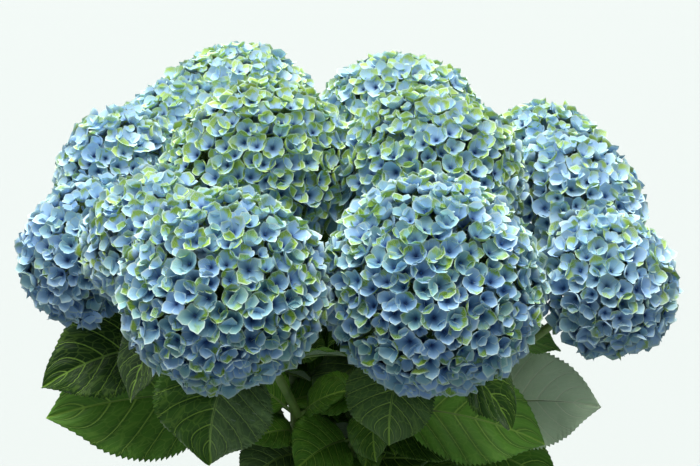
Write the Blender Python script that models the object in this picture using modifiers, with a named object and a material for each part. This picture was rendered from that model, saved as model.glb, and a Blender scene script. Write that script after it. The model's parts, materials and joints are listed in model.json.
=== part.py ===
"""Cut mophead hydrangeas standing in a plain glazed vase.

Metres, +Z up. The origin is the centre of the vase's foot, on the surface that the vase stands on,
and the front of the arrangement faces -Y. Every stem rises through the mouth of the vase in a slot
of its own and carries one flower head and its leaves.
"""

import math

import bmesh
import bpy
from mathutils import Matrix, Vector

MM = 0.001
GAP = 0.3 * MM  # between pieces that touch

# The vase, a turned shape
VASE_HEIGHT = 235 * MM
FOOT_RADIUS = 66 * MM
BELLY_RADIUS = 92 * MM
NECK_RADIUS = 69 * MM
MOUTH_RADIUS = 75 * MM
BELLY_SHARE = 0.42  # of the height
NECK_SHARE = 0.88
VASE_WALL = 5 * MM
VASE_FLOOR = 7 * MM
VASE_RINGS = 7  # of points up each side of the wall
VASE_STEPS = 24

# Stems
STEM_RADIUS = 4 * MM
GATHER_HEIGHT = 260 * MM  # where the stems stand closest, and the heads are laid out from
STEM_RING_AT_FLOOR = 40 * MM
STEM_RING_GATHERED = 48 * MM
STEM_POINTS_IN_VASE = 3
STEM_POINTS_ABOVE = 8
STEM_HANDLE = 0.30  # of the straight distance from the gathering to the head
SPIRAL = -24  # degrees that every stem's foot is turned back round the vase, as florists lay them

# Flower heads, as shares of their own radius
CROWN_HEIGHT = 0.88
UNDERSIDE_DEPTH = 0.52
LIP_ANGLE = 130  # degrees from the crown
HEAD_ARC_POINTS = 8
HEAD_STEPS = 14
NECK_OF_HEAD = 6 * MM

# Each head: azimuth and lean from the vertical in degrees, seen from the middle of the gathered
# stems, then the distance from there to the head's middle and the head's width, in mm.
HEADS = {
    "front_right": (-70, 33.5, 332, 168),
    "front_left": (-114, 38.5, 369, 152),
    "left_low": (-170, 41.5, 330, 124),
    "left_mid": (-145, 32.5, 340, 116),
    "left_high": (166, 35.5, 355, 110),
    "left_back": (141, 35.5, 354, 112),
    "middle_left": (-150, 14, 332, 156),
    "middle_right": (-36, 14.5, 328, 152),
    "back_left": (119, 38.5, 360, 160),
    "back_middle": (130, 22, 296, 116),
    "back_right": (70, 24.5, 327, 154),
    "right_back": (34, 39, 344, 120),
    "right_mid": (3, 34.5, 329, 132),
    "right_low": (-22, 43, 326, 122),
}

# Leaves
LEAF_THICKNESS = 1.0 * MM
PETIOLE_SHARE = 0.13  # of a leaf's length, from the stem to the blade
PETIOLE_HALF_WIDTH = 1.5 * MM
BLADE_ROWS = 6
LEAF_COLUMNS = 4
FOLD = 0.34  # rise of a blade's half towards its edge, as a share of the half width
CURL = 0.14  # how much of that rise the edge gives back

# The leaves of each stem, from the top down: how far below the head a leaf grows in mm, the heading
# and slope of the straight line from stem to tip in degrees, its length and width in mm, how far the
# midrib arches above that line in mm, and the blade's roll about it in degrees.
LEAVES = {
    "front_right": [
        (30, -15, -42, 104, 80, 12, 10),
        (40, -113, -62, 78, 72, 14, 0),
        (136, -5, -11, 142, 88, 10, 38),
        (162, -14, -12, 84, 56, 6, 20),
        (178, -136, -4, 64, 62, 6, -40),
    ],
    "front_left": [
        (34, -128, -62, 98, 92, 16, -22),
        (90, 0, 8, 56, 34, 5, -22),
        (232, -140, -8, 66, 52, 8, -30),
    ],
    "left_low": [
        (94, -167, -12, 132, 86, 12, -35),
        (176, -169, -1, 180, 108, 10, -60),
        (220, -147, 3, 66, 46, 8, -35),
    ],
    "left_mid": [
        (36, -142, -49, 100, 62, 12, 0),
    ],
    "left_high": [
        (40, 160, -44, 104, 74, 14, 0),
        (124, 176, -2, 92, 64, 12, 0),
    ],
    "left_back": [
        (45, 146, -42, 105, 74, 14, 0),
        (128, 150, -6, 96, 66, 12, 0),
        (236, 164, 6, 106, 72, 6, -50),
    ],
    "middle_left": [
        (176, 20, 24, 84, 62, 8, 10),
    ],
    "middle_right": [
        (126, -160, -42, 80, 54, 10, -10),
    ],
    "back_left": [
        (34, 120, -48, 116, 82, 16, 0),
        (160, 138, 6, 110, 78, 14, -20),
        (240, 100, 30, 100, 72, 6, 0),
    ],
    "back_right": [
        (38, 72, -50, 112, 80, 16, 0),
        (150, 60, 4, 112, 76, 12, 0),
        (226, 20, 12, 108, 72, 8, 45),
    ],
    "right_back": [
        (36, 36, -46, 108, 76, 14, 0),
        (126, 48, -14, 108, 72, 12, 0),
    ],
    "right_mid": [
        (38, 14, -50, 96, 70, 14, 0),
        (118, -18, 6, 78, 54, 8, 10),
    ],
    "right_low": [
        (154, 0, 2, 128, 84, 8, 50),
        (186, -10, -19, 120, 74, 8, 30),
    ],
}


def vase_radius(height):
    """Outer radius of the vase at a height: foot, belly, neck and mouth joined by easy curves."""
    share = height / VASE_HEIGHT
    marks = [
        (0.0, FOOT_RADIUS),
        (BELLY_SHARE, BELLY_RADIUS),
        (NECK_SHARE, NECK_RADIUS),
        (1.0, MOUTH_RADIUS),
    ]
    for (low, low_radius), (high, high_radius) in zip(marks, marks[1:]):
        if share <= high:
            ease = 0.5 - 0.5 * math.cos(math.pi * (share - low) / (high - low))
            return low_radius + (high_radius - low_radius) * ease
    return MOUTH_RADIUS


def head_axis(head):
    azimuth, lean = (math.radians(angle) for angle in HEADS[head][:2])
    return Vector((
        math.sin(lean) * math.cos(azimuth),
        math.sin(lean) * math.sin(azimuth),
        math.cos(lean),
    ))


def head_middle(head):
    return Vector((0, 0, GATHER_HEIGHT)) + head_axis(head) * HEADS[head][2] * MM


def head_radius(head):
    return HEADS[head][3] / 2 * MM


def stem_points(head):
    """The middle line of a stem, from the vase's floor to just under its head."""
    by_azimuth = sorted(HEADS, key=lambda name: HEADS[name][0])
    slot = math.radians(-180 + SPIRAL + by_azimuth.index(head) * 360 / len(HEADS))
    outwards = Vector((math.cos(slot), math.sin(slot), 0))
    foot = outwards * STEM_RING_AT_FLOOR + Vector((0, 0, VASE_FLOOR + 2 * GAP))
    gathered = outwards * STEM_RING_GATHERED + Vector((0, 0, GATHER_HEIGHT))
    axis = head_axis(head)
    top = head_middle(head) - axis * (UNDERSIDE_DEPTH * head_radius(head) + GAP)
    reach = (top - gathered).length * STEM_HANDLE
    handle_low = gathered + (gathered - foot).normalized() * reach
    handle_high = top - axis * reach
    points = [foot.lerp(gathered, i / STEM_POINTS_IN_VASE) for i in range(STEM_POINTS_IN_VASE)]
    for i in range(STEM_POINTS_ABOVE + 1):
        t = i / STEM_POINTS_ABOVE
        s = 1 - t
        points.append(
            gathered * s**3 + handle_low * 3 * s * s * t + handle_high * 3 * s * t * t + top * t**3
        )
    return points


def down_from_head(head, distance):
    """The point of a stem's middle line that lies a distance below its top, and the line's direction."""
    points = stem_points(head)[::-1]
    for upper, lower in zip(points, points[1:]):
        step = (lower - upper).length
        if distance <= step:
            return upper.lerp(lower, distance / step), (upper - lower).normalized()
        distance -= step
    return points[-1], (points[-2] - points[-1]).normalized()


def new_material(name, color, roughness):
    material = bpy.data.materials.new(name)
    material.use_nodes = True
    shader = material.node_tree.nodes["Principled BSDF"]
    shader.inputs["Base Color"].default_value = (*color, 1)
    shader.inputs["Roughness"].default_value = roughness
    shader.inputs["Metallic"].default_value = 0
    return material


def new_piece(name, data, collection, material):
    piece = bpy.data.objects.new(name, data)
    data.materials.append(material)
    collection.objects.link(piece)
    return piece


def make_vase(collection):
    """One turned wall, open at the mouth: down the outer side, after coming up the inner one."""
    heights = [VASE_HEIGHT * i / VASE_RINGS for i in range(VASE_RINGS + 1)]
    inner = [(vase_radius(VASE_FLOOR) - VASE_WALL, VASE_FLOOR)]
    inner += [(vase_radius(z) - VASE_WALL, z) for z in heights[1:]]
    outer = [(vase_radius(z), z) for z in reversed(heights)]
    profile = [(0, VASE_FLOOR)] + inner + outer + [(0, 0)]
    mesh = bpy.data.meshes.new("vase")
    edges = [(i, i + 1) for i in range(len(profile) - 1)]
    mesh.from_pydata([(radius, 0, z) for radius, z in profile], edges, [])
    material = new_material("vase_glaze", (0.80, 0.80, 0.76), 0.25)
    vase = new_piece("vase", mesh, collection, material)
    turn(vase, VASE_STEPS)


def turn(piece, steps):
    screw = piece.modifiers.new("turn", "SCREW")
    screw.steps = screw.render_steps = steps
    screw.use_merge_vertices = True
    screw.merge_threshold = 0.01 * MM
    screw.use_smooth_shade = True


def make_stem(head, collection, material):
    curve = bpy.data.curves.new(f"stem_{head}", "CURVE")
    curve.dimensions = "3D"
    curve.bevel_depth = STEM_RADIUS
    curve.bevel_resolution = 2
    curve.use_fill_caps = True
    points = stem_points(head)
    spline = curve.splines.new("POLY")
    spline.points.add(len(points) - 1)
    for control, place in zip(spline.points, points):
        control.co = (*place, 1)
    new_piece(f"stem_{head}", curve, collection, material)


def dome_profile(radius):
    """A mophead cut through its axis: a slightly flattened ball, tucked in underneath to its neck."""
    points = []
    for i in range(HEAD_ARC_POINTS):
        angle = math.radians(LIP_ANGLE) * i / (HEAD_ARC_POINTS - 1)
        height = math.cos(angle) * (CROWN_HEIGHT if angle < math.pi / 2 else 1)
        points.append((radius * math.sin(angle), radius * height))
    points.append((NECK_OF_HEAD, -UNDERSIDE_DEPTH * radius))
    points.append((0, -UNDERSIDE_DEPTH * radius))
    return points


def cut_flat(solid, point, normal):
    """Takes away what lies past a plane, and closes the solid there."""
    cut = bmesh.ops.bisect_plane(
        solid,
        geom=solid.verts[:] + solid.edges[:] + solid.faces[:],
        plane_co=point,
        plane_no=normal,
        clear_outer=True,
    )
    rim = [item for item in cut["geom_cut"] if isinstance(item, bmesh.types.BMEdge)]
    if rim:
        bmesh.ops.holes_fill(solid, edges=rim, sides=0)


def make_head(head, collection, material):
    """A dome turned about its axis, pressed flat where a neighbour leans on it."""
    radius = head_radius(head)
    middle = head_middle(head)
    solid = bmesh.new()
    profile = [solid.verts.new((r, 0, z)) for r, z in dome_profile(radius)]
    lines = [solid.edges.new(pair) for pair in zip(profile, profile[1:])]
    bmesh.ops.spin(
        solid,
        geom=profile + lines,
        cent=(0, 0, 0),
        axis=(0, 0, 1),
        angle=math.tau,
        steps=HEAD_STEPS,
    )
    bmesh.ops.remove_doubles(solid, verts=solid.verts[:], dist=0.01 * MM)
    bmesh.ops.recalc_face_normals(solid, faces=solid.faces[:])
    to_place = Matrix.Translation(middle) @ head_axis(head).to_track_quat("Z", "Y").to_matrix().to_4x4()
    solid.transform(to_place)
    for other in HEADS:
        towards = head_middle(other) - middle
        apart = towards.length
        if other == head or apart > radius + head_radius(other) + GAP:
            continue
        share = (apart**2 + radius**2 - head_radius(other) ** 2) / (2 * apart)
        direction = towards.normalized()
        cut_flat(solid, middle + direction * (share - GAP / 2), direction)
    mesh = bpy.data.meshes.new(f"head_{head}")
    solid.to_mesh(mesh)
    solid.free()
    mesh.shade_smooth()
    new_piece(f"head_{head}", mesh, collection, material)


def blade_half_width(share, width):
    """Half the width of a leaf at a share of its length: petiole, broad oval, then the tip."""
    along = (share - PETIOLE_SHARE) / (1 - PETIOLE_SHARE)
    if along <= 0 or along >= 1:
        return PETIOLE_HALF_WIDTH
    return max(PETIOLE_HALF_WIDTH, width / 2 * math.sin(math.pi * along**0.82) ** 0.8)


def make_leaf(name, stem, form, collection, material):
    """A grid laid along an arched midrib, folded up along it and given its thickness."""
    below, heading, slope, length, width, arch, roll = form
    heading, slope, roll = (math.radians(angle) for angle in (heading, slope, roll))
    level = Vector((math.cos(heading), math.sin(heading), 0))
    chord = level * math.cos(slope) + Vector((0, 0, math.sin(slope)))
    upwards = Vector((0, 0, math.cos(slope))) - level * math.sin(slope)
    node, along_stem = down_from_head(stem, below * MM)
    away = (chord - along_stem * chord.dot(along_stem)).normalized()
    start = node + away * (STEM_RADIUS + PETIOLE_HALF_WIDTH + GAP)
    shares = [0] + [
        PETIOLE_SHARE + (1 - PETIOLE_SHARE) * i / (BLADE_ROWS - 1) for i in range(BLADE_ROWS)
    ]
    grid = bmesh.new()
    bmesh.ops.create_grid(
        grid, x_segments=LEAF_COLUMNS, y_segments=len(shares) - 1, size=1
    )
    for vert in grid.verts:
        across = vert.co.x
        row = round((vert.co.y + 1) / 2 * (len(shares) - 1))
        share = shares[row]
        middle = start + (chord * length * share + upwards * arch * 4 * share * (1 - share)) * MM
        tangent = (chord * length + upwards * arch * 4 * (1 - 2 * share)).normalized()
        side = Matrix.Rotation(roll, 3, tangent) @ tangent.cross(upwards).normalized()
        normal = side.cross(tangent)
        half = blade_half_width(share, width * MM)
        rise = half * (FOLD * abs(across) - CURL * across * across)
        vert.co = middle + side * across * half + normal * rise
    mesh = bpy.data.meshes.new(name)
    grid.to_mesh(mesh)
    grid.free()
    mesh.shade_smooth()
    leaf = new_piece(name, mesh, collection, material)
    thickness = leaf.modifiers.new("thickness", "SOLIDIFY")
    thickness.thickness = LEAF_THICKNESS
    thickness.offset = 0


def main():
    for leftover in list(bpy.data.objects):
        bpy.data.objects.remove(leftover)
    collection = bpy.data.collections.new("hydrangeas_in_a_vase")
    bpy.context.scene.collection.children.link(collection)
    make_vase(collection)
    sepals = new_material("sepals", (0.24, 0.42, 0.62), 0.6)
    stem_green = new_material("stem", (0.20, 0.33, 0.10), 0.5)
    leaf_green = new_material("leaf", (0.04, 0.14, 0.03), 0.4)
    for head in HEADS:
        make_stem(head, collection, stem_green)
        make_head(head, collection, sepals)
    for stem, forms in LEAVES.items():
        for letter, form in zip("abcdef", forms):
            make_leaf(f"leaf_{stem}_{letter}", stem, form, collection, leaf_green)


main()
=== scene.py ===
"""The looks of a vase of cut mophead hydrangeas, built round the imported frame.

Every place comes from the frame's own solids: a stem's line from its tube, a flower head's dome from
its crown and its stem, a leaf's midrib and width from its sheet, and the vase's turning from its wall.
"""
import json
import math
import random
from functools import partial

import bmesh
import bpy
import numpy as np
from mathutils import Matrix, Vector, noise
from mathutils.bvhtree import BVHTree

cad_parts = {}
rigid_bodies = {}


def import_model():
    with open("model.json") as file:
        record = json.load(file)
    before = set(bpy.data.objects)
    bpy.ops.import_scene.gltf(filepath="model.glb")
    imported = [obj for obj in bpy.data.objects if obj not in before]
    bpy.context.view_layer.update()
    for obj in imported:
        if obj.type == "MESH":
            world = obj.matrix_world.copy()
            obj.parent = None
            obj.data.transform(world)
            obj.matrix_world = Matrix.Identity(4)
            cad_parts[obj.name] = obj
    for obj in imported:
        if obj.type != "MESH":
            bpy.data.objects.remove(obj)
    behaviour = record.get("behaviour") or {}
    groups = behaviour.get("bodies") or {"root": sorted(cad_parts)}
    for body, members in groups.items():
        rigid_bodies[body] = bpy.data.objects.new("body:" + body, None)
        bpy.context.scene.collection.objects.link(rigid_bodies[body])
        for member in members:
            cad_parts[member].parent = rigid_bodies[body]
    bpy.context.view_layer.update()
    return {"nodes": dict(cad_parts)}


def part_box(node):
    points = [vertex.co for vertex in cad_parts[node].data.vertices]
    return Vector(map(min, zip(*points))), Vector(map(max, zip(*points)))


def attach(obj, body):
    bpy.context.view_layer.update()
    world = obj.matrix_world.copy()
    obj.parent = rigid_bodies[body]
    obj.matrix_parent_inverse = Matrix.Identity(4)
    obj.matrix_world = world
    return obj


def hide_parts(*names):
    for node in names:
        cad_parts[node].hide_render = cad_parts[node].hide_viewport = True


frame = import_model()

MM = 0.001
ROOT = "root"

# Kinds of node that are used often, with their settings. A mix takes its share at 0 and its colours at
# 6 and 7, and gives its colour at 2. A range goes smoothly from 1 and 2 to 0 and 1, or to 3 and 4.
MATH = "ShaderNodeMath"
TIMES = {"operation": "MULTIPLY"}
TIMES_PLUS = {"operation": "MULTIPLY_ADD"}
MIX = "ShaderNodeMix"
COLOURS = {"data_type": "RGBA"}
RANGE = "ShaderNodeMapRange"
SMOOTH = {"interpolation_type": "SMOOTHSTEP"}
RAMP = "ShaderNodeValToRGB"
NOISE = "ShaderNodeTexNoise"
VORONOI = "ShaderNodeTexVoronoi"
ATTRIBUTE = "ShaderNodeAttribute"
SEPARATE = "ShaderNodeSeparateXYZ"

# The heads' proportions, as the frame's domes have them
CROWN_HEIGHT = 0.88
UNDERSIDE_DEPTH = 0.52
TOUCHING_GAP = 0.3 * MM
STEM_CORNERS = 8  # in each ring of a stem's tube

# Florets
FLORET_SPACING = 14.7 * MM
INNER_SPACING = 21.0 * MM
INNER_DEPTH = 8.5 * MM  # how far the second layer of florets sits below the first
LOWEST_FLORET = 135  # degrees from the crown
UPWARDS = Vector((0, 0, 0.16))  # florets turn a little to the light
FLORET_DEPTH = 8.0 * MM  # how far a floret's foot sits below the dome's surface
SHAKE = 0.15  # of the spacing, so that the florets make no rows
WAVINESS = 2.4 * MM  # how far the dome's surface swells and sinks
CLOSE_GAP = 26 * MM  # nearer than this to a neighbouring head, florets stand higher
CLOSE_SWELL = 5 * MM
SEPALS = 4
SEPAL_HALF_ANGLE = math.radians(51)  # wider than an eighth turn, so that sepals overlap
SEPAL_OVERLAP = 0.45 * MM
SEPAL_THICKNESS = 0.5 * MM
SEPAL_COLUMNS = (-1, -0.56, 0, 0.56, 1)
SEPAL_ROWS = (0.06, 0.42, 0.76, 1.0)

# How green each head's sepals still are, and how much paler they are painted: the back and upper heads get
# the most painted light
TINTS = {
    "front_right": (0.39, 0.05), "front_left": (0.44, 0.05), "left_low": (0.22, 0.26),
    "left_mid": (0.43, 0.30), "left_high": (0.38, 0.74), "left_back": (0.47, 0.75),
    "middle_left": (0.71, 0.36), "middle_right": (0.60, 0.34), "back_left": (0.56, 0.92),
    "back_middle": (0.57, 0.6), "back_right": (0.55, 0.70), "right_back": (0.56, 0.58),
    "right_mid": (0.34, 0.66), "right_low": (0.37, 0.42),
}

# Where leaves grow, a stem is thicker by so much over such a length
NODE_SWELLING = 1.2 * MM
NODE_LENGTH = 7 * MM

# Leaves
LEAF_TEETH = 30
TOOTH_STEPS = (0.0, 0.5, 0.93)
LEAF_COLUMNS = (-1, -0.92, -0.8, -0.64, -0.48, -0.32, -0.17, -0.06, 0,
                0.06, 0.17, 0.32, 0.48, 0.64, 0.8, 0.92, 1)
LEAF_THICKNESS = 0.5 * MM
LEAF_FOLD = 0.34  # how steeply each half rises from the midrib, and how far that flattens out
LEAF_CURL = 0.14
TOOTH_DEPTH = 0.062  # of the half width, as the puffs between the veins are
PUFF_HEIGHT = 0.024
RIB_DEPTH = 0.9 * MM  # the groove over the midrib
RIB_WIDTH = 1.4 * MM
SIDE_VEINS = 7
VEIN_SWEEP = 0.30  # how far a side vein runs towards the tip, as a share of the blade
VEIN_BEND = 1.12

# Leaves that differ from the others: how light a green, partly the leaf's own and partly painted
# light and shade; how much painted sheen lies on the left and the right half; and how deeply pleated
LEAF_LOOKS = {
    "left_low_a": (-0.04, 0, 0, 1.7), "left_low_b": (0.52, 0.02, 0.02, 1.2), "left_low_c": (0.1, 0, 0, 1.0),
    "left_mid_a": (-0.1, 0.06, 0.06, 2.0), "front_left_a": (0.12, 0.13, 0.0, 2.2),
    "front_left_c": (0.1, 0.1, 0.1, 1.2), "middle_right_a": (0.06, 0.08, 0.1, 0.9),
    "front_right_a": (0.04, 0, 0, 1.4), "front_right_b": (0.1, 0.05, 0.05, 1.0),
    "front_right_c": (1.0, 0.04, 0.04, 1.3), "front_right_d": (0.1, 0, 0, 1.2),
    "front_right_e": (0.45, 0, 0, 1.0), "right_mid_b": (1.2, 0.15, 0.15, 1.0),
    "right_low_a": (0.4, 1.2, 1.2, 0.6), "right_low_b": (0.4, 0, 0, 1.0),
}

# Young leaves in pairs on the lower stems
YOUNG_LENGTH = (46 * MM, 78 * MM)
YOUNG_STEP = 21 * MM
YOUNG_REACH = 105 * MM  # they grow only in the bunch's middle
YOUNG_ABOVE_VASE = 14 * MM
YOUNG_BELOW_HEAD = 29 * MM
YOUNG_ATTEMPTS = 9
YOUNG_SHARES = (0, 0.12, 0.3, 0.5, 0.7, 0.88, 1)  # where along its length a blade's line is given
YOUNG_TEETH = 9
YOUNG_COLUMNS = (-1, -0.55, -0.12, 0, 0.12, 0.55, 1)

CAMERA_TARGET = Vector((0, -0.045, 0.525))
CAMERA_DISTANCE = 1.45
CAMERA_ELEVATION = math.radians(22)
CAMERA_LENS = 91.2  # on a sensor 36 mm wide


def linear(hex_colour):
    """An sRGB hex colour as the linear values that shaders take."""
    channels = [int(hex_colour[i:i + 2], 16) / 255 for i in (1, 3, 5)]
    return (*[c / 12.92 if c <= 0.04045 else ((c + 0.055) / 1.055) ** 2.4 for c in channels], 1)


def connect(tree, node, inputs):
    """Fills a node's inputs, given by place or by name: a socket is linked, a hex colour made linear."""
    for place, value in inputs.items() if isinstance(inputs, dict) else enumerate(inputs):
        if isinstance(value, bpy.types.NodeSocket):
            tree.links.new(value, node.inputs[place])
        elif isinstance(value, str) and value.startswith("#"):
            node.inputs[place].default_value = linear(value)
        else:
            node.inputs[place].default_value = value


def add_node(tree, kind, inputs=(), output=0, stops=(), **settings):
    """Adds a node with its settings and links, and returns one of its outputs, or all of them for
    None. Stops are the places and colours of a colour ramp."""
    node = tree.nodes.new(kind)
    for name, value in settings.items():
        setattr(node, name, value)
    while stops and len(node.color_ramp.elements) < len(stops):
        node.color_ramp.elements.new(0.5)
    for number, (place, colour) in enumerate(stops):
        node.color_ramp.elements[number].position = place
        node.color_ramp.elements[number].color = linear(colour)
    connect(tree, node, inputs)
    return node.outputs if output is None else node.outputs[output]


def new_object(name, data):
    """An object in the scene that shows a mesh, a light or a camera."""
    piece = bpy.data.objects.new(name, data)
    bpy.context.scene.collection.objects.link(piece)
    return piece


def to_mesh(name, solid):
    """A smooth mesh of a bmesh, which is freed."""
    mesh = bpy.data.meshes.new(name)
    solid.to_mesh(mesh)
    solid.free()
    mesh.shade_smooth()
    return mesh


def as_plain_mesh(piece):
    """The piece with its modifiers worked in, as a new object of the same name."""
    name = piece.name
    evaluated = piece.evaluated_get(bpy.context.evaluated_depsgraph_get())
    mesh = bpy.data.meshes.new_from_object(evaluated)
    bpy.data.objects.remove(piece)
    mesh.name = name
    return new_object(name, mesh)


def store(mesh, name, kind, values):
    """Keeps one value, or one vector, for each of a mesh's points."""
    data = mesh.attributes.new(name, kind, "POINT").data
    flat = np.array([list(v) if kind == "FLOAT_VECTOR" else v for v in values]).ravel()
    data.foreach_set("vector" if kind == "FLOAT_VECTOR" else "value", flat)


def grown(name, mesh, tree, **values):
    """The piece that a geometry tree makes from a mesh, with the tree's inputs by name."""
    piece = new_object(name, mesh)
    modifier = piece.modifiers.new(tree.name, "NODES")
    modifier.node_group = tree
    for title, value in values.items():
        modifier[tree.interface.items_tree[title].identifier] = value
    return as_plain_mesh(piece)


def settle(piece, slot, *nodes):
    """Hands a finished piece to the frame: what it rides on and stands for. The slot is not used."""
    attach(piece, ROOT)
    if nodes:
        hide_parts(*nodes)


# ---------------------------------------------------------------- reading the frame

def welded(node):
    """A CAD node's solid with its corners joined."""
    solid = bmesh.new()
    solid.from_mesh(frame["nodes"][node].data)
    bmesh.ops.remove_doubles(solid, verts=solid.verts[:], dist=0.01 * MM)
    return solid


def through(points, count):
    """Points at even steps along a smooth curve (Catmull-Rom) through the given ones."""
    points = [Vector(p) for p in points]
    ends = [points[0] * 2 - points[1]] + points + [points[-1] * 2 - points[-2]]
    found = []
    for k in range(count):
        place = k / (count - 1) * (len(points) - 1)
        i = min(int(place), len(points) - 2)
        t = place - i
        a, b, c, d = ends[i:i + 4]
        found.append(0.5 * (2 * b + (c - a) * t + (2 * a - 5 * b + 4 * c - d) * t**2
                            + (3 * b - a - 3 * c + d) * t**3))
    return found


def stem_rings(head):
    """The rings of corners round a stem's tube, from its foot up."""
    solid = welded("stem_" + head)
    corners = sorted((v.co.copy() for v in solid.verts), key=lambda p: p.z)
    solid.free()
    return [corners[i:i + STEM_CORNERS] for i in range(0, len(corners), STEM_CORNERS)]


def stem_line(head):
    """The middle line of a stem's tube."""
    return [sum(ring, Vector()) / len(ring) for ring in stem_rings(head)]


class Dome:
    """A flower head's dome: its neck, axis, radius and middle."""

    def __init__(self, head):
        self.name = head
        top = stem_line(head)[-1]
        solid = welded("head_" + head)
        crown = max((v.co.copy() for v in solid.verts), key=lambda p: (p - top).length)
        solid.free()
        self.axis = (crown - top).normalized()
        self.radius = ((crown - top).length - TOUCHING_GAP) / (CROWN_HEIGHT + UNDERSIDE_DEPTH)
        self.neck = top + self.axis * TOUCHING_GAP
        self.middle = self.neck + self.axis * UNDERSIDE_DEPTH * self.radius
        self.turn = self.axis.to_track_quat("Z", "Y").to_matrix()

    def pressed_away(self, place, others, spare):
        """Whether a place is past the plane where a neighbour's dome presses on this one."""
        for other in others:
            towards = other.middle - self.middle
            apart = towards.length
            if other is self or apart > self.radius + other.radius:
                continue
            share = (apart**2 + self.radius**2 - other.radius**2) / (2 * apart)
            if (place - self.middle).dot(towards / apart) > share + spare:
                return True
        return False


# ---------------------------------------------------------------- materials

def new_material(name):
    """A material, a function that adds nodes to it, and one that fills its shader's inputs."""
    material = bpy.data.materials.new(name)
    material.use_nodes = True
    tree = material.node_tree
    return material, partial(add_node, tree), partial(connect, tree, tree.nodes["Principled BSDF"])


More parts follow.
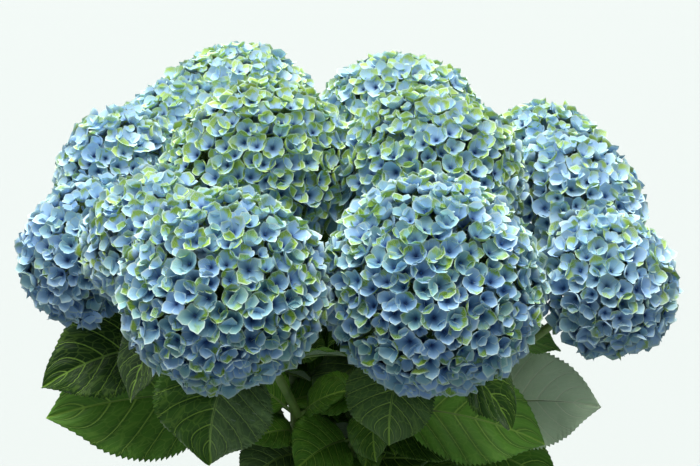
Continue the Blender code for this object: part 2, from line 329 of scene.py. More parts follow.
def sepal_material():
    """Hydrangea sepal: thin, matt and papery, deep blue in the cup and pale at the rim, with patches
    of lime green on the outer half that fade as the flower ages. Attributes: place holds across,
    along and inside; floret holds three random shares; lime how green the flower still is."""
    material, add, finish = new_material("hydrangea_sepal")
    (across, along, inside), (hue, age, spare) = [
        add(SEPARATE, [add(ATTRIBUTE, output="Vector", attribute_name=name)], None)
        for name in ("place", "floret")]
    sepal, lime, pale, kind = [add(ATTRIBUTE, output="Fac", attribute_name=name)
                               for name in ("sepal", "lime", "pale", "kind")]
    object_place = add("ShaderNodeTexCoord", output="Object")
    number = add(MATH, (spare, 57.0, sepal), **TIMES_PLUS)  # differs for every sepal
    own, leaning, _ = add(SEPARATE, [add("ShaderNodeTexWhiteNoise", {"W": number}, "Color",
                                            noise_dimensions="1D")], None)

    # Blue from the cup's heart to its rim, cooler or warmer from floret to floret. The deep navy at the
    # heart is partly the sepal's own colour and partly painted shade in the cup.
    sky, teal = [add(RAMP, [along], stops=list(zip((0.06, 0.26, 0.5, 0.78, 1.0), colours)))
                 for colours in (("#223C68", "#4A74A8", "#78A6CF", "#97BEE4", "#ACCDEC"),
                                 ("#22405C", "#467592", "#73A8B2", "#98C8C2", "#AFD8CE"))]
    warmth = add(RANGE, {0: hue, 1: 0.3, 2: 1.0}, **SMOOTH)
    blue = add(MIX, {0: warmth, 6: sky, 7: teal}, 2, **COLOURS)

    # Fine streaks that fan out along the sepal's veins
    fan = add(MATH, (across, add(MATH, (along, 0.35), operation="ADD")), operation="DIVIDE")
    streak_place = add("ShaderNodeCombineXYZ", (
        add(MATH, (fan, 9.0), **TIMES), add(MATH, (along, 1.4), **TIMES),
        add(MATH, (own, 40.0), **TIMES)))
    streaks = add(NOISE, {"Vector": streak_place, "Scale": 1.0, "Detail": 2.0, "Roughness": 0.6})

    # Lime patches: some sepals have one, on the outer half and to one side. More have one in some
    # places than in others, which are about 14 mm apart.
    cloud = add(NOISE, {"Vector": object_place, "Scale": 1 / (14.3 * MM), "Detail": 1.0})
    chance = add(MATH, (own, 0.62, add(MATH, (cloud, 0.55, lime), **TIMES_PLUS)), **TIMES_PLUS)
    chosen = add(RANGE, {0: chance, 1: 1.08, 2: 1.20}, **SMOOTH)
    middle = add(MATH, (leaning, 1.5, -0.75), **TIMES_PLUS)
    aside = add(MATH, [add(MATH, (across, middle), operation="SUBTRACT")], operation="ABSOLUTE")
    field = add(MATH, (aside, -0.42, along), **TIMES_PLUS)
    field = add(MATH, (streaks, 0.42, field), **TIMES_PLUS)
    patch = add(RANGE, {0: field, 1: 0.56, 2: 0.80}, **SMOOTH)
    green_share = add(MATH, (chosen, patch), **TIMES)
    vivid = add(RANGE, {0: streaks, 1: 0.32, 2: 0.66}, **SMOOTH)
    lime_colour = add(MIX, {0: vivid, 6: "#588A1A", 7: "#9ABF3E"}, 2, **COLOURS)
    # Painted light: the outer half is painted paler, towards light blue and light lime, as far as the pale
    # attribute says
    outer = add(RANGE, {0: along, 1: 0.05, 2: 0.45}, **SMOOTH)
    lightness = add(MATH, (pale, outer), **TIMES)
    blue = add(MIX, {0: lightness, 6: blue, 7: "#BADBF8"}, 2, **COLOURS)
    lime_colour = add(MIX, {0: lightness, 6: lime_colour, 7: "#C0DA78"}, 2, **COLOURS)
    colour = add(MIX, {0: green_share, 6: blue, 7: lime_colour}, 2, **COLOURS)

    # The thin pale rim
    reach = add(MATH, [across], operation="ABSOLUTE")
    side = add(MATH, (add(RANGE, {0: reach, 1: 0.86, 2: 0.98}, **SMOOTH),
                      add(RANGE, {0: along, 1: 0.35, 2: 0.75}, **SMOOTH)), **TIMES)
    lip = add(RANGE, {0: along, 1: 0.885, 2: 0.965}, **SMOOTH)
    rim = add(MATH, (add(MATH, (lip, side), operation="MAXIMUM"), 0.72), **TIMES)
    colour = add(MIX, {0: rim, 6: colour, 7: "#D0E6DA"}, 2, **COLOURS)

    # The outside of the cup: a paler lilac blue, greener towards the stalk
    back = add(RAMP, [along], stops=((0.0, "#8FB06A"), (0.35, "#7FA2C6"), (0.8, "#9DBFE0"),
                                     (1.0, "#D3E6EA")))
    back = add(MIX, {0: green_share, 6: back, 7: "#A5C24C"}, 2, **COLOURS)
    colour = add(MIX, {0: inside, 6: back, 7: colour}, 2, **COLOURS)

    # The button in the middle
    button = add(MIX, {0: age, 6: "#16305E", 7: "#2F5C9A"}, 2, **COLOURS)
    colour = add(MIX, {0: kind, 6: colour, 7: button}, 2, **COLOURS)
    bump = add("ShaderNodeBump", {"Height": streaks, "Strength": 0.25, "Distance": 0.4 * MM})
    finish({"Base Color": colour, "Roughness": 0.62, "IOR": 1.4, "Specular IOR Level": 0.35,
            "Normal": bump})
    return material


def leaf_material(name, deep, fresh, vein, roughness, relief):
    """Hydrangea leaf: leathery, quilted between its veins. Above it is glossy deep green with
    yellow-green veins; below it is matt, pale and greyer. The grooves beside the veins get painted
    shade, and painted sheen lays a pale grey-green reflection on parts of some blades. Attributes:
    place holds across, along and the half width there; fresh how light a green, partly the leaf's
    own green and partly painted light and shade; the third how much painted sheen lies there."""
    material, add, finish = new_material(name)
    across, along, half_width = add(SEPARATE, [add(ATTRIBUTE, output="Vector", attribute_name="place")],
                                    None)
    tone, bloom = [add(ATTRIBUTE, output="Fac", attribute_name=name) for name in ("fresh", "bloom")]
    object_place = add("ShaderNodeTexCoord", output="Object")

    # Side veins leave the midrib forwards and thin out towards the edge
    reach = add(MATH, [across], operation="ABSOLUTE")
    swept = add(MATH, (add(MATH, (reach, VEIN_BEND), operation="POWER"), -VEIN_SWEEP, along), **TIMES_PLUS)
    turns = add(MATH, (swept, float(SIDE_VEINS)), **TIMES)
    centred = add(MATH, (add(MATH, [turns], operation="FRACT"), 0.5), operation="SUBTRACT")
    away = add(MATH, [centred], operation="ABSOLUTE")
    thinning = add(MATH, (reach, -0.75, 1.1), **TIMES_PLUS)
    side = add(RANGE, {0: add(MATH, (away, thinning), operation="DIVIDE"), 1: 0.07, 2: 0.015}, **SMOOTH)
    off_rib = add(MATH, (reach, half_width), **TIMES)
    midrib = add(RANGE, {0: off_rib, 1: 1.3 * MM, 2: 0.4 * MM}, **SMOOTH)
    veins = add(MATH, (side, midrib), operation="MAXIMUM")

    # The finer net between the side veins: cells about 6 mm by 4 mm, laid along them
    net_place = add("ShaderNodeCombineXYZ", (
        add(MATH, (turns, 2.6), **TIMES),
        add(MATH, (off_rib, 1 / (5.5 * MM)), **TIMES), 0.0))
    cells = add(VORONOI, {"Vector": net_place, "Scale": 1.0}, "Distance", feature="DISTANCE_TO_EDGE")
    net = add(RANGE, {0: cells, 1: 0.10, 2: 0.0}, **SMOOTH)
    cloud = add(NOISE, {"Vector": object_place, "Scale": 1 / (28.6 * MM), "Detail": 3.0})

    # How light a green: partly each leaf's own green, partly painted light and shade given leaf by leaf
    shade_of_green = add(MATH, (cloud, 0.3, tone), **TIMES_PLUS)
    colour = add(MIX, {0: shade_of_green, 6: deep, 7: fresh}, 2, **COLOURS)
    # Painted shade: the grooves beside the veins are painted darker, towards the deep green
    painted_groove_shade = add(RANGE, {0: away, 1: 0.3, 2: 0.02, 4: 0.4}, **SMOOTH)
    # Painted sheen: a pale grey-green reflection painted over the blade, with paler veins under it, as far
    # as the attribute says
    sheen_share = add(MATH, (bloom, add(MATH, (cloud, 0.5, 0.55), **TIMES_PLUS)), **TIMES)
    vein = add(MIX, {0: bloom, 6: vein, 7: "#E4F0CC"}, 2, **COLOURS)
    fine = add(MATH, (net, 0.2), **TIMES)
    bold = add(MATH, (veins, 0.8), **TIMES)
    for share, cover in ((painted_groove_shade, deep), (sheen_share, "#CCE4B8"), (fine, vein), (bold, vein)):
        colour = add(MIX, {0: share, 6: colour, 7: cover}, 2, **COLOURS)
    height = add(MATH, (veins, relief, add(MATH, (net, relief * 0.4), **TIMES)), **TIMES_PLUS)
    height = add(MATH, (cloud, 0.25, height), **TIMES_PLUS)
    bump = add("ShaderNodeBump", {"Height": height, "Strength": 0.6, "Distance": 0.6 * MM})
    finish({"Base Color": colour, "Roughness": roughness, "IOR": 1.45, "Specular IOR Level": 0.2,
            "Normal": bump})
    return material


def clouded(add, object_place, size, detail, edges, dark, light):
    """Clouds of a size between two colours, as cloud and colour."""
    cloud = add(NOISE, {"Vector": object_place, "Scale": 1 / size, "Detail": detail})
    tone = add(RANGE, {0: cloud, 1: edges[0], 2: edges[1]}, **SMOOTH)
    return cloud, add(MIX, {0: tone, 6: dark, 7: light}, 2, **COLOURS)


def stem_material():
    """Hydrangea stem: satin green and smooth, flecked with brown corky spots about 1 mm across."""
    material, add, finish = new_material("hydrangea_stem")
    object_place = add("ShaderNodeTexCoord", output="Object")
    _, colour = clouded(add, object_place, 45.5 * MM, 3.0, (0.3, 0.7), "#3F6124", "#7D9A4C")
    spots = add(VORONOI, {"Vector": object_place, "Scale": 1 / (3.03 * MM)}, "Distance")
    fleck = add(RANGE, {0: spots, 1: 0.26, 2: 0.10, 4: 0.55}, **SMOOTH)
    colour = add(MIX, {0: fleck, 6: colour, 7: "#6B5A3A"}, 2, **COLOURS)
    bump = add("ShaderNodeBump", {"Height": fleck, "Strength": 0.7, "Distance": 0.3 * MM})
    finish({"Base Color": colour, "Roughness": 0.48, "IOR": 1.45, "Normal": bump})
    return material


def corymb_material():
    """The branching flower stalks under the sepals: matt, pale fresh green in softly clouded shades."""
    material, add, finish = new_material("hydrangea_flower_stalks")
    object_place = add("ShaderNodeTexCoord", output="Object")
    _, colour = clouded(add, object_place, 16.7 * MM, 2.0, (0.35, 0.65), "#6C8F3E", "#9DB878")
    finish({"Base Color": colour, "Roughness": 0.55})
    return material


def glaze_material():
    """Stoneware under a soft white glaze: glossy, a little uneven in thickness, with specks of iron
    about 0.5 mm across."""
    material, add, finish = new_material("white_stoneware_glaze")
    object_place = add("ShaderNodeTexCoord", output="Object")
    cloud, colour = clouded(add, object_place, 71.4 * MM, 4.0, (0.3, 0.7), "#E6E4DC", "#F3F2EC")
    speckle = add(VORONOI, {"Vector": object_place, "Scale": 1 / (2.38 * MM)}, "Distance")
    dots = add(RANGE, {0: speckle, 1: 0.16, 2: 0.05, 4: 0.25}, **SMOOTH)
    colour = add(MIX, {0: dots, 6: colour, 7: "#9A8F7C"}, 2, **COLOURS)
    bump = add("ShaderNodeBump", {"Height": cloud, "Strength": 0.25, "Distance": 1.0 * MM})
    finish({"Base Color": colour, "Roughness": 0.34, "Coat Weight": 0.5, "Coat Roughness": 0.08,
            "Normal": bump})
    return material


# ---------------------------------------------------------------- florets

def sepal_surface(across, along, form, sepal, luck):
    """A point of one sepal: a sector of a bowl with a rounded, faintly pointed outer edge. Across
    runs from -1 to 1 and along from 0, at the heart, to 1. The lip flares out past 0.7."""
    extent = 1 - form["lobing"] * abs(across) ** 2.4 + form["point"] * (1 - abs(across)) ** 3
    s = along * extent * luck["length"]
    bend = form["bend"]
    radius = form["radius"] * math.sin(s * bend) / math.sin(bend)
    height = form["height"] * (1 - math.cos(s * bend)) / (1 - math.cos(bend))
    lip = max(0.0, s - 0.7) / 0.3
    radius += form["flare"] * lip**2
    height -= form["flare"] * 0.5 * lip**2
    radius += 0.7 * MM * (1 - across * across) * s * luck["belly"] + luck["lean"] * s * s
    height -= 0.6 * luck["lean"] * s * s
    radius += SEPAL_OVERLAP * across * min(1.0, 2 * s)  # over one neighbour and under the other
    angle = math.tau * sepal / SEPALS + luck["turn"] + across * SEPAL_HALF_ANGLE
    return Vector((radius * math.cos(angle), radius * math.sin(angle), height))


def floret_mesh(name, form, seed):
    """Four closed sepals round a button, opening to +Z. A sepal's two layers share its border,
    whose edges are sharp."""
    chance = random.Random(seed)
    solid = bmesh.new()
    place = solid.verts.layers.float_vector.new("place")
    sepal_id = solid.verts.layers.float.new("sepal")
    kind = solid.verts.layers.float.new("kind")
    last_column, last_row = len(SEPAL_COLUMNS) - 1, len(SEPAL_ROWS) - 1
    step = 0.02  # for the surface's slopes
    border = set()
    for sepal in range(SEPALS):
        luck = {
            "length": chance.uniform(0.84, 1.1),
            "lean": chance.uniform(-0.7, 1.5) * MM,
            "belly": chance.uniform(0.3, 1.6),
            "turn": chance.uniform(-0.12, 0.12),
        }
        top, under = {}, {}
        for i, along in enumerate(SEPAL_ROWS):
            for j, across in enumerate(SEPAL_COLUMNS):
                here = sepal_surface(across, along, form, sepal, luck)
                sideways = sepal_surface(across + step, along, form, sepal, luck) - here
                onwards = sepal_surface(across, along + step, form, sepal, luck) - here
                inwards = onwards.cross(sideways).normalized() * -SEPAL_THICKNESS / 2
                at_border = i in (0, last_row) or j in (0, last_column)
                for layer, side in ((top, 1), (under, 0)):
                    if at_border and side == 0:
                        layer[i, j] = top[i, j]
                        continue
                    vert = solid.verts.new(here if at_border else here + inwards * (1 - 2 * side))
                    vert[place] = (across, along, side)
                    vert[sepal_id] = sepal
                    layer[i, j] = vert
                if at_border:
                    border.add(top[i, j])
        for i in range(last_row):
            for j in range(last_column):
                corners = ((i, j), (i, j + 1), (i + 1, j + 1), (i + 1, j))
                solid.faces.new([top[c] for c in corners])
                solid.faces.new([under[c] for c in corners[::-1]])
    for edge in solid.edges:
        edge.smooth = not border.issuperset(edge.verts)
    radius = form["button"]
    height = radius * 1.5
    button = bmesh.ops.create_cone(solid, segments=5, radius1=radius, radius2=radius * 0.7,
                                   depth=height, cap_ends=True)
    for vert in button["verts"]:
        vert.co += Vector((0, 0, height / 2))
        vert[kind] = 1
    bmesh.ops.recalc_face_normals(solid, faces=solid.faces[:])
    return to_mesh(name, solid)


def floret_forms():
    """Cups of several ages: round cups, deep funnels, wider ones with a flared lip, a small new one
    and one that has opened nearly flat."""
    def form(radius, height, bend, flare, lobing=0.17, point=0.10, button=1.15):
        return {"radius": radius * MM, "height": height * MM, "bend": math.radians(bend),
                "flare": flare * MM, "lobing": lobing, "point": point, "button": button * MM}
    return [
        form(8.8, 8.6, 84, 0.4),
        form(8.2, 9.2, 88, 0.2, lobing=0.14),
        form(9.2, 8.4, 78, 0.8, point=0.13),
        form(8.6, 8.4, 80, 0.3, lobing=0.20),
        form(7.2, 8.8, 90, 0.0, lobing=0.15, point=0.14),
        form(9.8, 8.0, 72, 1.2, lobing=0.21, point=0.13),
        form(10.2, 6.6, 64, 1.0, lobing=0.24, point=0.13),
        form(5.6, 6.2, 84, 0.2, lobing=0.14, button=0.9),
    ]


def floret_templates():
    """The floret forms as a collection that isn't part of the scene."""
    templates = bpy.data.collections.new("floret_templates")
    for number, form in enumerate(floret_forms()):
        name = f"floret_{number}"
        templates.objects.link(bpy.data.objects.new(name, floret_mesh(name, form, 40 + number)))
    return templates


def new_tree(name, *wanted):
    """A geometry tree with named inputs, a function that adds nodes to it, and its input sockets."""
    tree = bpy.data.node_groups.new(name, "GeometryNodeTree")
    for title, kind, value in wanted:
        socket = tree.interface.new_socket(name=title, in_out="INPUT", socket_type="NodeSocket" + kind)
        if value is not None:
            socket.default_value = value
    tree.interface.new_socket(name="Geometry", in_out="OUTPUT", socket_type="NodeSocketGeometry")
    return tree, partial(add_node, tree), add_node(tree, "NodeGroupInput", output=None)


def florets_tree():
    """Geometry nodes: a floret on every point, aimed outwards with a random spin, tilt and size."""
    tree, add, given = new_tree(
        "florets_on_a_dome", ("Points", "Geometry", None), ("Florets", "Collection", None),
        ("Material", "Material", None), ("Smallest", "Float", 0.76), ("Largest", "Float", 0.98),
        ("Tilt", "Float", 0.34), ("Seed", "Int", 1))
    random_values = []
    for shift, (kind, low, high) in enumerate((
            ("FLOAT_VECTOR", (-1, -1, -1), (1, 1, 1)), ("FLOAT", 0.0, math.tau),
            ("FLOAT", given["Smallest"], given["Largest"]), ("FLOAT_VECTOR", (0, 0, 0), (1, 1, 1)))):
        seed = add(MATH, (given["Seed"], shift + 1.0), operation="ADD")
        first = 0 if kind == "FLOAT_VECTOR" else 2
        random_values.append(add("FunctionNodeRandomValue", {"Seed": seed, first: low, first + 1: high},
                                 first // 2, data_type=kind))
    wobble, spin, size, luck = random_values
    aim = add("GeometryNodeInputNamedAttribute", {"Name": "aim"}, data_type="FLOAT_VECTOR")
    wobble = add("ShaderNodeVectorMath", {0: wobble, "Scale": given["Tilt"]}, operation="SCALE")
    tilted = add("ShaderNodeVectorMath", (aim, wobble), operation="ADD")
    outwards = add("FunctionNodeAlignRotationToVector", {"Vector": tilted}, axis="Z")
    spun = add("FunctionNodeAxisAngleToRotation", {"Axis": (0, 0, 1), "Angle": spin})
    rotation = add("FunctionNodeRotateRotation", {"Rotation": outwards, "Rotate By": spun},
                   rotation_space="LOCAL")
    variety = add("GeometryNodeInputNamedAttribute", {"Name": "variety"}, data_type="INT")
    growth = add("GeometryNodeInputNamedAttribute", {"Name": "growth"}, data_type="FLOAT")
    size = add(MATH, (size, growth), **TIMES)
    forms = add("GeometryNodeCollectionInfo", {
        "Collection": given["Florets"], "Separate Children": True, "Reset Children": True})
    placed = add("GeometryNodeInstanceOnPoints", {
        "Points": given["Points"], "Instance": forms, "Pick Instance": True,
        "Instance Index": variety, "Rotation": rotation, "Scale": size})
    placed = add("GeometryNodeStoreNamedAttribute", {"Geometry": placed, "Name": "floret", "Value": luck},
                 data_type="FLOAT_VECTOR", domain="INSTANCE")
    real = add("GeometryNodeRealizeInstances", {"Geometry": placed})
    painted = add("GeometryNodeSetMaterial", {"Geometry": real, "Material": given["Material"]})
    add("NodeGroupOutput", [painted], None)
    return tree


def golden_turn(number):
    """The angle of one place of a sunflower's spiral."""
    return number * math.pi * (3 - math.sqrt(5))


def spiral(dome, spacing, seed):
    """Directions spread evenly over a dome from its crown down, a little shaken."""
    chance = random.Random(seed)
    lowest = math.cos(math.radians(LOWEST_FLORET))
    cell = 0.866 * spacing**2  # the area that a place has in a honeycomb
    count = round(math.tau * dome.radius**2 * (1 - lowest) / cell)
    for i in range(count):
        polar = math.acos(1 - (i + 0.5) / count * (1 - lowest))
        around = golden_turn(i) + seed
        polar += chance.uniform(-SHAKE, SHAKE) * spacing / dome.radius
        around += chance.uniform(-SHAKE, SHAKE) * spacing / dome.radius / max(0.3, math.sin(polar))
        yield Vector((math.sin(polar) * math.cos(around), math.sin(polar) * math.sin(around),
                      math.cos(polar))), chance


def floret_places(dome, domes, spacing, depth, seed):
    """Where a head's florets sit and aim, without those that a neighbouring head would crush. They
    stand a little higher next to a neighbour, so the heads close up on each other."""
    found = []
    for aim, chance in spiral(dome, spacing, seed):
        flat = CROWN_HEIGHT if aim.z > 0 else 1.0
        surface = dome.turn @ (Vector((aim.x, aim.y, aim.z * flat)) * dome.radius) + dome.middle
        outwards = dome.turn @ Vector((aim.x, aim.y, aim.z / flat)).normalized()
        swell = WAVINESS * noise.noise(aim * 2.6 + Vector((seed, 0, 0))) + chance.uniform(-2.0, 1.0) * MM
        for other in domes:
            gap = abs((surface - other.middle).length - other.radius)
            if other is not dome and gap < CLOSE_GAP:
                swell += CLOSE_SWELL * (1 - gap / CLOSE_GAP)
        seat = surface - outwards * (FLORET_DEPTH + depth - swell)
        luck = chance.random()
        if not dome.pressed_away(seat + outwards * 4 * MM, domes, 1.0 * MM):
            found.append((seat, (outwards + UPWARDS).normalized(), luck))
    return found


def variety_of(luck):
    """Mostly round cups, with some funnels, a few opened florets and fewer small new ones."""
    for share, number in ((0.18, 0), (0.36, 1), (0.52, 2), (0.67, 3), (0.80, 4), (0.90, 5), (0.95, 6)):
        if luck < share:
            return number
    return 7


def make_florets(dome, places, templates, tree, material, seed):
    """All of a head's florets as one piece, which stands for the head's dome."""
    mesh = bpy.data.meshes.new("points")
    mesh.from_pydata([seat for seat, *_ in places], [], [])
    store(mesh, "aim", "FLOAT_VECTOR", [outwards for _, outwards, _ in places])
    store(mesh, "variety", "INT", [variety_of(luck) for _, _, luck in places])
    lime, pale = TINTS[dome.name]
    # Painted light: florets that face upwards are painted paler
    store(mesh, "pale", "FLOAT", [pale + 0.35 * max(0.0, outwards.z - 0.3) for _, outwards, _ in places])
    store(mesh, "lime", "FLOAT", [lime + 0.12 * outwards.z for _, outwards, _ in places])
    # The lowest florets hang free and grow larger
    lowness = [min(0.6, max(0.0, 0.15 - outwards.z)) for _, outwards, _ in places]
    store(mesh, "growth", "FLOAT", [1 + 0.24 * low for low in lowness])
    piece = grown("florets_" + dome.name, mesh, tree, Florets=templates, Material=material, Seed=seed)
    settle(piece, "sepals", "head_" + dome.name)


# ---------------------------------------------------------------- tubes: stems and flower stalks

def tubes_tree():
    """Geometry nodes: a round tube along every line of a mesh, as thick as its radius attribute."""
    tree, add, given = new_tree("tubes_along_lines", ("Lines", "Geometry", None), ("Sides", "Int", 8),
                                ("Material", "Material", None))
    radius = add("GeometryNodeInputNamedAttribute", {"Name": "radius_of_tube"}, data_type="FLOAT")
    curve = add("GeometryNodeMeshToCurve", {"Mesh": given["Lines"]})
    circle = add("GeometryNodeCurvePrimitiveCircle", {"Resolution": given["Sides"], "Radius": 1.0})
    tube = add("GeometryNodeCurveToMesh", {
        "Curve": curve, "Profile Curve": circle, "Scale": radius, "Fill Caps": True})
    smooth = add("GeometryNodeSetShadeSmooth", {"Geometry": tube})
    real = add("GeometryNodeRealizeInstances", {"Geometry": smooth})
    painted = add("GeometryNodeSetMaterial", {"Geometry": real, "Material": given["Material"]})
    add("NodeGroupOutput", [painted], None)
    return tree


def make_tubes(name, lines, tree, material, sides):
    """One piece of round tubes. Each line is a list of points with their radii."""
    points, edges, radii = [], [], []
    for line in lines:
        edges += [(len(points) + i, len(points) + i + 1) for i in range(len(line) - 1)]
        points += [point for point, _ in line]
        radii += [radius for _, radius in line]
    mesh = bpy.data.meshes.new(name)
    mesh.from_pydata(points, edges, [])
    store(mesh, "radius_of_tube", "FLOAT", radii)
    return grown(name, mesh, tree, Sides=sides, Material=material)


def bent(start, end, lean, steps):
    """Points from start to end on a curve that leaves start along lean."""
    reach = (end - start).length * 0.5
    control = start + lean * reach
    return [start * (1 - t) ** 2 + control * 2 * t * (1 - t) + end * t * t
            for t in (i / steps for i in range(steps + 1))]


def make_corymb(dome, domes, places, tree, material):
    """The branches that carry the florets: a few thick ones from the neck, then a stalk to each."""
    branch_count = max(9, round(len(places) / 9))
    ends = []
    for i in range(branch_count):
        height = 1 - (i + 0.5) / branch_count * 1.45
        around = golden_turn(i) + 0.6
        flat = math.sqrt(1 - height * height)
        aim = dome.turn @ Vector((flat * math.cos(around), flat * math.sin(around), height))
        end = dome.middle + aim * dome.radius * 0.52
        if not dome.pressed_away(end, domes, 0):
            ends.append(end)
    lines = []
    root = dome.neck - dome.axis * 3 * MM
    for end in ends:
        curve = bent(root, end, dome.axis, 4)
        lines.append([(p, (2.3 - 1.1 * i / 4) * MM) for i, p in enumerate(curve)])
    for seat, outwards, _ in places:
        end = nearest(ends, seat)
        curve = bent(end, seat - outwards * 1.5 * MM, (end - dome.neck).normalized(), 2)
        lines.append([(p, r * MM) for p, r in zip(curve, (0.95, 0.8, 0.65))])
    settle(make_tubes("corymb_" + dome.name, lines, tree, material, 5), "stem")


def make_stem(head, leaf_feet, tree, material):
    """A round stem on its frame line, a little thicker where leaves grow and towards the foot."""
    line = through(stem_line(head), 64)
    radius = (stem_rings(head)[0][0] - line[0]).length
    points = []
    for i, point in enumerate(line):
        swelling = sum(math.exp(-((point - foot).length / NODE_LENGTH) ** 2) for foot in leaf_feet)
        thickness = radius * (1.02 - 0.16 * i / (len(line) - 1)) + NODE_SWELLING * min(1.0, swelling)
        points.append((point, thickness))
    settle(make_tubes("stalk_" + head, [points], tree, material, 14), "stem", "stem_" + head)


# ---------------------------------------------------------------- leaves

def nearest(line, place):
    """The point of a line that is nearest to a place."""
    return min(line, key=lambda p: (p - place).length)


def leaf_rows(leaf):
    """The middle of a CAD leaf's sheet: rows from stalk to tip, each of five points across it,
    ordered so that the blade's upper side is the one that the fold rises towards."""
    solid = welded(leaf)
    solid.verts.ensure_lookup_table()
    line = through(stem_line(leaf[5:-2]), 200)
    foot = min(solid.verts, key=lambda v: (v.co - nearest(line, v.co)).length)
    row = {v for v in solid.verts if (v.co - foot.co).length < 4.5 * MM}
    seen, rows = set(row), []
    while row:
        rows.append([v.co.copy() for v in row])
        row = {e.other_vert(v) for v in row for e in v.link_edges} - seen
        seen |= row
    solid.free()
    sheet, side = [], None
    for points in rows:
        spread = np.array([list(p) for p in points])
        centred = spread - spread.mean(axis=0)
        direction = Vector(np.linalg.svd(centred)[2][0])
        if side is not None and direction.dot(side) < 0:
            direction.negate()
        side = direction
        ordered = sorted(points, key=lambda p: p.dot(side))
        sheet.append([(ordered[i] + ordered[i + 1]) / 2 for i in range(0, len(ordered), 2)])
    broad = max(sheet, key=lambda r: (r[0] - r[-1]).length)
    rise = (broad[0] + broad[-1]) / 2 - broad[len(broad) // 2]
    forwards = sheet[-1][2] - sheet[0][2]
    if (broad[-1] - broad[0]).cross(forwards).dot(rise) < 0:
        sheet = [row[::-1] for row in sheet]
    return sheet


def outline(share):
    """Half the blade's width at a share of its length, as a share of the widest: a broad oval
    that narrows into a drawn-out tip."""
    if share <= 0 or share >= 1:
        return 0.0
    narrow = max(0.0, (share - 0.72) / 0.28)
    return math.sin(math.pi * share**0.82) ** 0.72 * (1 - 0.58 * narrow**1.5)


def make_blade(name, middles, sides, half, looks, teeth, columns, chance, materials):
    """A toothed, quilted blade along a midrib. Its side vectors say which way its width runs."""
    fresh_and_lit_tone, painted_sheen_left, painted_sheen_right, pleat = looks
    shares = [(k + step) / teeth for k in range(teeth) for step in TOOTH_STEPS] + [1.0]
    fine = 201
    path, across_path = through(middles, fine), through(sides, fine)
    wave, waves = chance.uniform(0, math.tau), chance.uniform(2.2, 3.6)
    curl = chance.uniform(0.03, 0.07) * half
    solid = bmesh.new()
    place = solid.verts.layers.float_vector.new("place")
    fresh = solid.verts.layers.float.new("fresh")
    bloom = solid.verts.layers.float.new("bloom")
    rows, rib = [], []
    for number, share in enumerate(shares):
        i = min(int(share * (fine - 1)), fine - 2)
        t = share * (fine - 1) - i
        middle = path[i].lerp(path[i + 1], t)
        tangent = (path[i + 1] - path[i]).normalized()
        side = across_path[i].lerp(across_path[i + 1], t)
        side = (side - tangent * side.dot(tangent)).normalized()
        normal = side.cross(tangent)
        width = half * outline(share)
        tooth = TOOTH_STEPS[number % len(TOOTH_STEPS)] if share < 1 else 0
        bite = TOOTH_DEPTH * half * tooth * math.sin(math.pi * min(1, share * 1.02)) ** 0.5
        row = []
        for across in columns:
            reach = abs(across)
            rise = width * (LEAF_FOLD * reach - LEAF_CURL * reach * reach)
            turns = (share - VEIN_SWEEP * reach**VEIN_BEND) * SIDE_VEINS
            puff = math.cos(math.tau * turns) * math.sin(math.pi * min(1, reach * 1.02)) ** 0.6
            rise += PUFF_HEIGHT * half * pleat * puff * min(1, width / half * 2)
            rise -= RIB_DEPTH * math.exp(-((reach * width / RIB_WIDTH) ** 2))
            rise += curl * reach**3 * math.sin(waves * math.tau * share + wave + (across > 0) * 1.9)
            out = width * reach + bite * max(0, reach * 5 - 4)
            vert = solid.verts.new(middle + side * math.copysign(out, across)
                                   + normal * (rise - bite * 0.25 * (reach == 1)))
            vert[place] = (across, share, width)
            # How light a green, partly painted light and shade, and how much painted sheen on each half
            vert[fresh] = fresh_and_lit_tone
            vert[bloom] = painted_sheen_right if across > 0 else painted_sheen_left
            row.append(vert)
        rows.append(row)
        rib.append(middle - normal * (1.5 * MM))
    for a, b in zip(rows, rows[1:]):
        for j in range(len(a) - 1):
            solid.faces.new((a[j], a[j + 1], b[j + 1], b[j]))
    bmesh.ops.remove_doubles(solid, verts=rows[0] + rows[-1], dist=0.02 * MM)
    mesh = to_mesh(name, solid)
    for material in materials:
        mesh.materials.append(material)
    piece = new_object(name, mesh)
    sheet = piece.modifiers.new("thickness", "SOLIDIFY")
    sheet.thickness = LEAF_THICKNESS
    sheet.offset = -1
    sheet.material_offset = 1
    return as_plain_mesh(piece), rib


def leaf_stalk(foot, start, rib):
    """A leaf's stalk from its stem, running on under the blade as its midrib."""
    step = max(1, len(rib) // 12)
    line = [(foot, 2.0 * MM), (start, 1.9 * MM), (start.lerp(rib[0], 0.5), 1.7 * MM)]
    for k, point in enumerate(rib[:-step:step]):
        line.append((point, 1.6 * MM * (1 - k * step / len(rib)) + 0.25 * MM))
    return line


def make_leaf(leaf, materials, seed):
    """One of the frame's leaves: its blade, and the line of its stalk."""
    chance = random.Random(seed)
    sheet = leaf_rows(leaf)
    middles = [row[len(row) // 2] for row in sheet]
    sides = [(row[-1] - row[0]).normalized() for row in sheet]
    half = max((row[-1] - row[0]).length for row in sheet) / 2
    looks = LEAF_LOOKS.get(leaf[5:], (0.08 + 0.3 * chance.random(), 0, 0, 1.0))
    piece, rib = make_blade("blade_" + leaf[5:], middles[1:], sides[1:], half, looks, LEAF_TEETH,
                            LEAF_COLUMNS, chance, materials)
    foot = nearest(through(stem_line(leaf[5:-2]), 200), middles[0])
    return piece, leaf_stalk(foot, middles[0], rib)


def frame_trees():
    """The frame's solids, for finding out what a young leaf would run into."""
    trees = []
    for node in frame["nodes"].values():
        solid = bmesh.new()
        solid.from_mesh(node.data)
        trees.append(BVHTree.FromBMesh(solid))
        solid.free()
    return trees


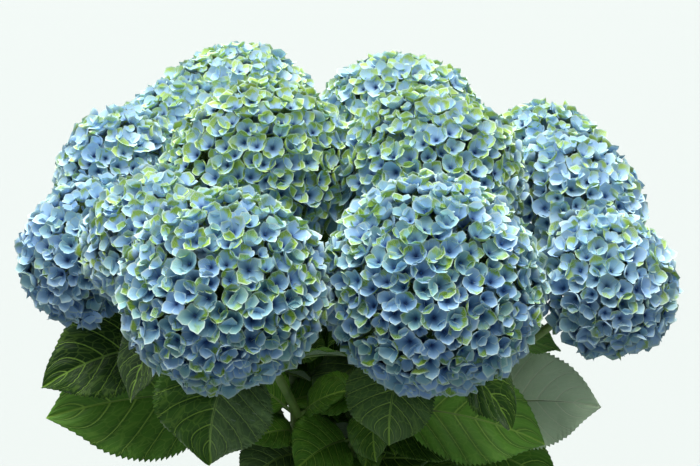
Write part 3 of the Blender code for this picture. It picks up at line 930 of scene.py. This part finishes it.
def coarse_blade(middles, side, lift, half):
    """A young leaf's blade in ten faces, a little larger than it, for finding what it would hit."""
    points = []
    for place, share in zip(middles[1:], (0.14, *YOUNG_SHARES[2:-1], 0.98)):
        width = half * outline(max(0.02, (share - 0.12) / 0.88))
        points += [place + side * u * width + lift * abs(u) * half * 0.2 for u in (-1.1, 0, 1.1)]
    faces = [(i * 3 + j, i * 3 + j + 1, i * 3 + j + 4, i * 3 + j + 3) for i in range(5) for j in (0, 1)]
    return BVHTree.FromPolygons(points, faces)


def make_young_leaves(dome, mouth, trees, materials, seed):
    """Small leaves in crossed pairs on the lower part of a stem, wherever there is room for one.
    Returns the blades and the lines of their stalks."""
    chance = random.Random(seed)
    line = through(stem_line(dome.name), 120)
    blades, stalks = [], []
    heading = chance.uniform(0, math.tau)
    lowest = mouth + YOUNG_ABOVE_VASE
    highest = (line[-1] - dome.axis * YOUNG_BELOW_HEAD).z
    last = None
    for foot in line:
        if not lowest <= foot.z <= highest or foot.xy.length > YOUNG_REACH:
            continue
        if last is not None and (foot - last).length < YOUNG_STEP:
            continue
        last = foot
        heading += math.radians(90) + chance.uniform(-0.3, 0.3)
        for turn in (0, math.pi):
            for attempt in range(YOUNG_ATTEMPTS):
                angle = heading + turn + chance.uniform(-0.5, 0.5) * (1 + attempt * 0.35)
                slope = math.radians(chance.uniform(-35, 42))
                length = chance.uniform(*YOUNG_LENGTH) * (1 - 0.05 * attempt)
                outwards = Vector((math.cos(angle) * math.cos(slope), math.sin(angle) * math.cos(slope),
                                   math.sin(slope)))
                start = foot + outwards * 5.5 * MM
                level = Vector((-math.sin(angle), math.cos(angle), 0)) * -1
                side = Matrix.Rotation(math.radians(chance.uniform(-50, 50)), 3, outwards) @ level
                lift = side.cross(outwards)
                middles = [start + outwards * length * t + lift * length * 0.4 * t * (0.75 - t)
                           for t in YOUNG_SHARES]
                half = length * chance.uniform(0.33, 0.4)
                rough = coarse_blade(middles, side, lift, half)
                if any(rough.overlap(other) for other in trees):
                    continue
                trees.append(rough)
                looks = (chance.uniform(0.0, 0.5), 0, 0, 1.0)
                name = f"young_{dome.name}_{len(blades)}"
                piece, rib = make_blade(name, middles[1:], [side] * 6, half, looks, YOUNG_TEETH,
                                        YOUNG_COLUMNS, chance, materials)
                blades.append(piece)
                stalks.append(leaf_stalk(foot, start, rib))
                break
    return blades, stalks


# ---------------------------------------------------------------- the vase

def make_vase(material):
    """The vase turned again on the frame's wall, with a rounded lip and a foot ring."""
    solid = welded("vase")
    radii = {}
    for vert in solid.verts:
        radii.setdefault(round(vert.co.z, 5), set()).add(vert.co.xy.length)
    solid.free()
    foot_height, floor_height, *wall_heights = sorted(radii)
    outer = [Vector((max(radii[z]), 0, z)) for z in (foot_height, *wall_heights)]
    inner = [Vector((min(radii[z]), 0, z)) for z in (floor_height, *wall_heights)]
    wall = outer[-1].x - inner[-1].x
    outer_fine, inner_fine = through(outer, 60), through(inner, 50)
    top = outer[-1].z
    profile = [Vector((0, 0, floor_height))] + inner_fine[:-3]
    lip = Vector(((outer[-1].x + inner[-1].x) / 2, 0, top - wall / 2))
    for i in range(9):
        angle = math.pi - math.pi * i / 8
        profile.append(lip + Vector((math.cos(angle), 0, math.sin(angle))) * wall / 2)
    profile += [p for p in outer_fine[::-1] if 2 * MM < p.z < top - wall * 0.8]
    foot = outer[0].x
    ring = 9 * MM
    profile += [Vector((foot - 0.6 * MM, 0, 0.6 * MM)), Vector((foot - 2 * MM, 0, 0)),
                Vector((foot - ring, 0, 0)), Vector((foot - ring - 2 * MM, 0, 2.2 * MM)),
                Vector((0, 0, 2.6 * MM))]
    mesh = bpy.data.meshes.new("vase_turned")
    mesh.from_pydata(profile, [(i, i + 1) for i in range(len(profile) - 1)], [])
    mesh.materials.append(material)
    piece = new_object("vase_turned", mesh)
    screw = piece.modifiers.new("turn", "SCREW")
    screw.steps = screw.render_steps = 96
    screw.use_merge_vertices = True
    screw.merge_threshold = 0.01 * MM
    screw.use_smooth_shade = True
    settle(as_plain_mesh(piece), "vase_glaze", "vase")


# ---------------------------------------------------------------- the studio

def make_floor():
    """A plain pale floor, far wider than the view."""
    material, _, finish = new_material("pale_studio_floor")
    finish({"Base Color": "#A3A7A4", "Roughness": 0.9, "Specular IOR Level": 0.1})
    solid = bmesh.new()
    bmesh.ops.create_grid(solid, x_segments=1, y_segments=1, size=14)
    mesh = to_mesh("studio_floor", solid)
    mesh.materials.append(material)
    floor = new_object("studio_floor", mesh)
    floor.visible_diffuse = False  # it throws no light back up under the leaves


def make_light(name, direction, energy, spread):
    """A sun shining along a direction, as wide as its spread in degrees."""
    light = bpy.data.lights.new(name, "SUN")
    light.energy = energy
    light.angle = math.radians(spread)
    new_object(name, light).rotation_euler = Vector(direction).to_track_quat("-Z", "Y").to_euler()


def make_studio():
    """A large, even ceiling of light, a lit backdrop and a weak fill."""
    scene = bpy.context.scene
    world = bpy.data.worlds.new("studio")
    scene.world = world
    world.use_nodes = True
    connect(world.node_tree, world.node_tree.nodes["Background"], ("#E6F1FA", 0.34))
    make_light("ceiling", direction=(0.08, -0.14, -1), energy=6.0, spread=75)
    make_light("backdrop", direction=(0.1, -1, -0.42), energy=1.9, spread=60)
    scene.view_settings.view_transform = "Standard"
    scene.view_settings.look = "None"


def make_camera():
    """Looks down from in front, at the middle of the flower heads."""
    away = Vector((0, -math.cos(CAMERA_ELEVATION), math.sin(CAMERA_ELEVATION)))
    data = bpy.data.cameras.new("camera")
    data.lens = CAMERA_LENS
    camera = new_object("camera", data)
    camera.location = CAMERA_TARGET + away * CAMERA_DISTANCE
    camera.rotation_euler = (-away).to_track_quat("-Z", "Y").to_euler()
    bpy.context.scene.camera = camera


# ---------------------------------------------------------------- putting it together

make_camera()
make_studio()
make_floor()

HEADS = sorted(name[5:] for name in frame["nodes"] if name.startswith("head_"))
LEAVES = sorted(name for name in frame["nodes"] if name.startswith("leaf_"))  # leaf_HEAD_LETTER
domes = {head: Dome(head) for head in HEADS}

sepal = sepal_material()
stem_green = stem_material()
stalk_green = corymb_material()
leaf_upper = leaf_material("hydrangea_leaf_above", "#0F2C09", "#659E30", "#9CC650", 0.48, -1.0)
leaf_under = leaf_material("hydrangea_leaf_below", "#5F7B58", "#8FA886", "#A9BF93", 0.6, 1.0)
glaze = glaze_material()

templates = floret_templates()
floret_tree = florets_tree()
tube_tree = tubes_tree()

leaf_feet = {head: [] for head in HEADS}
for number, leaf in enumerate(LEAVES):
    blade, stalk = make_leaf(leaf, (leaf_upper, leaf_under), 300 + number)
    leaf_feet[leaf[5:-2]].append(stalk[0][0])
    petiole = make_tubes("petiole_" + leaf[5:], [stalk], tube_tree, stem_green, 8)
    settle(blade, "leaf", leaf)
    settle(petiole, "stem")

vase_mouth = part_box("vase")[1][2]
trees = frame_trees()
for number, head in enumerate(HEADS):
    blades, stalks = make_young_leaves(domes[head], vase_mouth, trees, (leaf_upper, leaf_under),
                                       500 + number)
    for blade in blades:
        settle(blade, "leaf")
    if stalks:
        settle(make_tubes("young_stalks_" + head, stalks, tube_tree, stem_green, 6), "stem")

for number, head in enumerate(HEADS):
    dome = domes[head]
    places = floret_places(dome, domes.values(), FLORET_SPACING, 0, 11 + number)
    places += floret_places(dome, domes.values(), INNER_SPACING, INNER_DEPTH, 61 + number)
    make_florets(dome, places, templates, floret_tree, sepal, 100 + number * 7)
    make_corymb(dome, domes.values(), places, tube_tree, stalk_green)
    make_stem(head, leaf_feet[head], tube_tree, stem_green)

make_vase(glaze)

for template in list(templates.objects):
    bpy.data.objects.remove(template)
bpy.data.collections.remove(templates)
